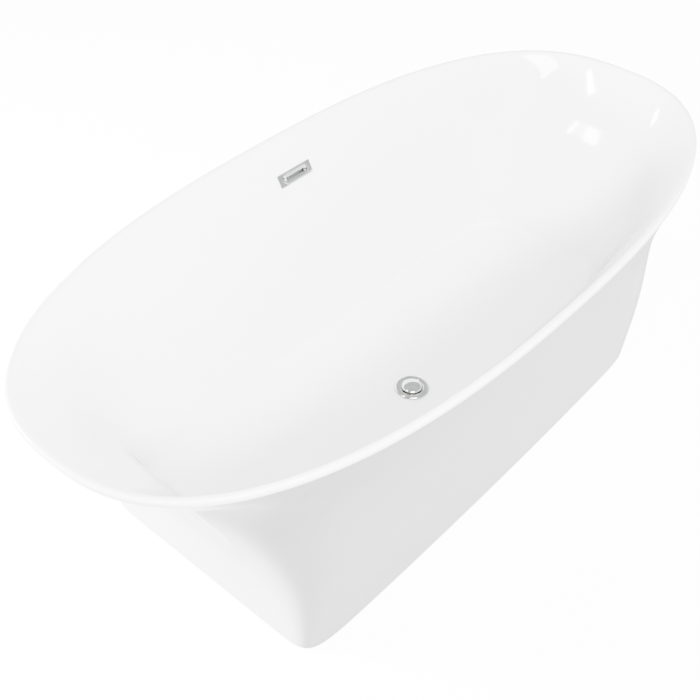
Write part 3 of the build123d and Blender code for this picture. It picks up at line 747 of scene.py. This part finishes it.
WOOD = wood_grain()
plywood, shader, effect = finish("coated_plywood", WOOD, {"Along Y": 0.0, "Ring Scale": 6.0}, coat_weight=0.2)
colour_between(plywood, shader, effect.outputs["Tone"], (0.42, 0.29, 0.16), (0.66, 0.50, 0.31))
roughness_between(plywood, shader, effect.outputs["Fibre"], 0.38, 0.6)
relief(plywood, shader, effect.outputs["Fibre"], 0.0004, 0.4)
give(plywood, "floor_board")

pine, shader, effect = finish("sawn_pine", WOOD, {"Along Y": 1.0, "Ring Scale": 8.0})
colour_between(pine, shader, effect.outputs["Tone"], (0.58, 0.39, 0.20), (0.80, 0.63, 0.41))
roughness_between(pine, shader, effect.outputs["Fibre"], 0.55, 0.8)
relief(pine, shader, effect.outputs["Fibre"], 0.0006, 0.5)
give(pine, "bearers")

# ------------------------------------------------------------------ bonding resin
# A bead of filled polyester resin, with chopped glass strands in it, joins the two shells under
# the rim all the way round. It is spread by hand and cures to a dull cream.
resin, shader, effect = finish("bonding_resin", GRAIN, {"Grain Scale": 260.0, "Dust Scale": 22.0})
colour_between(resin, shader, effect.outputs["Dust"], (0.66, 0.60, 0.42), (0.80, 0.76, 0.62))
roughness_between(resin, shader, effect.outputs["Dust"], 0.3, 0.55)
strands = resin.node_tree.nodes.new("ShaderNodeTexVoronoi")
strands.feature = "DISTANCE_TO_EDGE"
strands.inputs["Scale"].default_value = 140.0
place = resin.node_tree.nodes.new("ShaderNodeTexCoord")
resin.node_tree.links.new(place.outputs["Object"], strands.inputs["Vector"])
relief(resin, shader, strands.outputs["Distance"], 0.001, 0.5)
give(resin, "rim_bond")

# ------------------------------------------------------------------ studio
# The tub stands on a seamless white floor in a white tent. Both look burnt out to white, but they
# light the tub less. A softbox overhead, one behind on the left and a weak fill on the right light
# it, a linked key lights only the inside, and strips and a card give the glints on the right end.
WHITE = (1.0, 1.0, 1.0, 1.0)
backdrop, shader, effect = finish("white_sweep", GRAIN, {"Grain Scale": 60.0, "Dust Scale": 1.5})
shader.inputs["Emission Color"].default_value = WHITE
colour_between(backdrop, shader, effect.outputs["Dust"], (0.60, 0.60, 0.60), (0.63, 0.63, 0.63))
roughness_between(backdrop, shader, effect.outputs["Dust"], 0.85, 0.9)


def white_to_the_eye(tree, strength_socket, seen):
    """Stage brightness where it is looked at. Returns the socket for how much it lights the tub."""
    path = tree.nodes.new("ShaderNodeLightPath")
    choice = tree.nodes.new("ShaderNodeMapRange")
    choice.inputs["To Max"].default_value = seen
    tree.links.new(path.outputs["Is Camera Ray"], choice.inputs["Value"])
    tree.links.new(choice.outputs["Result"], strength_socket)
    return choice.inputs["To Min"]


floor_light = white_to_the_eye(backdrop.node_tree, shader.inputs["Emission Strength"], 12.0)
floor_light.default_value = 0.1
sweep = prism("studio_floor", rounded_outline(24.0, 24.0, 2.0), -0.02, 0.0)
sweep.data.materials.append(backdrop)
crease_at(sweep, 30)

surround = bpy.data.worlds.new("light_tent")
surround.use_nodes = True
DARK_SIDE = (-0.558, -0.482, 0.675)
sky = surround.node_tree
glow = sky.nodes["Background"].inputs
glow["Color"].default_value = WHITE
direction = sky.nodes.new("ShaderNodeTexCoord")
facing_dark = sky.nodes.new("ShaderNodeVectorMath")
facing_dark.operation = "DOT_PRODUCT"
facing_dark.inputs[1].default_value = DARK_SIDE
tent = sky.nodes.new("ShaderNodeMapRange")
tent.interpolation_type = "SMOOTHSTEP"
tent.inputs["From Min"].default_value = 0.62
tent.inputs["From Max"].default_value = 0.93
tent.inputs["To Min"].default_value = 1.15
tent.inputs["To Max"].default_value = 0.12
sky.links.new(direction.outputs["Generated"], facing_dark.inputs[0])
sky.links.new(facing_dark.outputs["Value"], tent.inputs["Value"])
sky.links.new(tent.outputs["Result"], white_to_the_eye(sky, glow["Strength"], 16.0))
bpy.context.scene.world = surround


def softbox(name, place, aim, width, height, power, upright=(0, 0, 1)):
    """Rectangular area light that faces a point, its height running along upright."""
    lamp = bpy.data.lights.new(name, "AREA")
    lamp.shape = "RECTANGLE"
    lamp.size = width
    lamp.size_y = height
    lamp.energy = power
    away = (Vector(place) - Vector(aim)).normalized()
    across = Vector(upright).cross(away).normalized()
    facing = Matrix((across, away.cross(across), away)).transposed().to_4x4()
    holder = bpy.data.objects.new(name, lamp)
    holder.matrix_world = Matrix.Translation(place) @ facing
    bpy.context.scene.collection.objects.link(holder)
    return holder


softbox("overhead", (-0.7, -1.3, 3.4), (0, 0.1, 0.3), 1.6, 0.9, 340)
softbox("left_side", (-2.3, 2.4, 0.6), (-0.6, 0, 0.25), 1.0, 0.8, 1250)
inside_light = softbox("inside_key", (-1.5, -2.4, 2.45), (0, 0.3, 0.4), 1.2, 0.6, 800)
inside_only = bpy.data.collections.new("lit_by_inside_key")
for piece in (basin, cover, flange, cap):
    inside_only.objects.link(piece)
inside_light.light_linking.receiver_collection = inside_only
inside_light.visible_glossy = False
right_light = softbox("right_fill", (2.4, -2.4, 0.8), (0.5, -0.3, 0.2), 1.2, 0.8, 250)
right_light.visible_glossy = False
softbox("high_strip", (-0.73, 0.89, 2.96), (0.80, 0.05, 0.53), 0.13, 0.50, 34, (-0.054, 0.129, -0.079))
softbox("low_strip", (-1.26, 1.16, 2.36), (0.72, 0.00, 0.44), 0.02, 0.30, 5, (-0.105, 0.0, -0.106))
softbox("back_card", (0.215, 2.0, 1.6), (0.76, -0.15, 0.52), 0.22, 0.30, 24)

eye = bpy.data.cameras.new("eye")
eye.lens = 55.033
eye.sensor_width = 36.0
camera = bpy.data.objects.new("eye", eye)
camera.location = (-1.37800, -1.06327, 1.80519)
aim = Vector((-0.13361, 0.00983, 0.30000))
facing = (aim - camera.location).to_track_quat("-Z", "Y")
camera.rotation_mode = "QUATERNION"
camera.rotation_quaternion = facing @ Quaternion((0, 0, 1), math.radians(0.888))
bpy.context.scene.collection.objects.link(camera)
bpy.context.scene.camera = camera
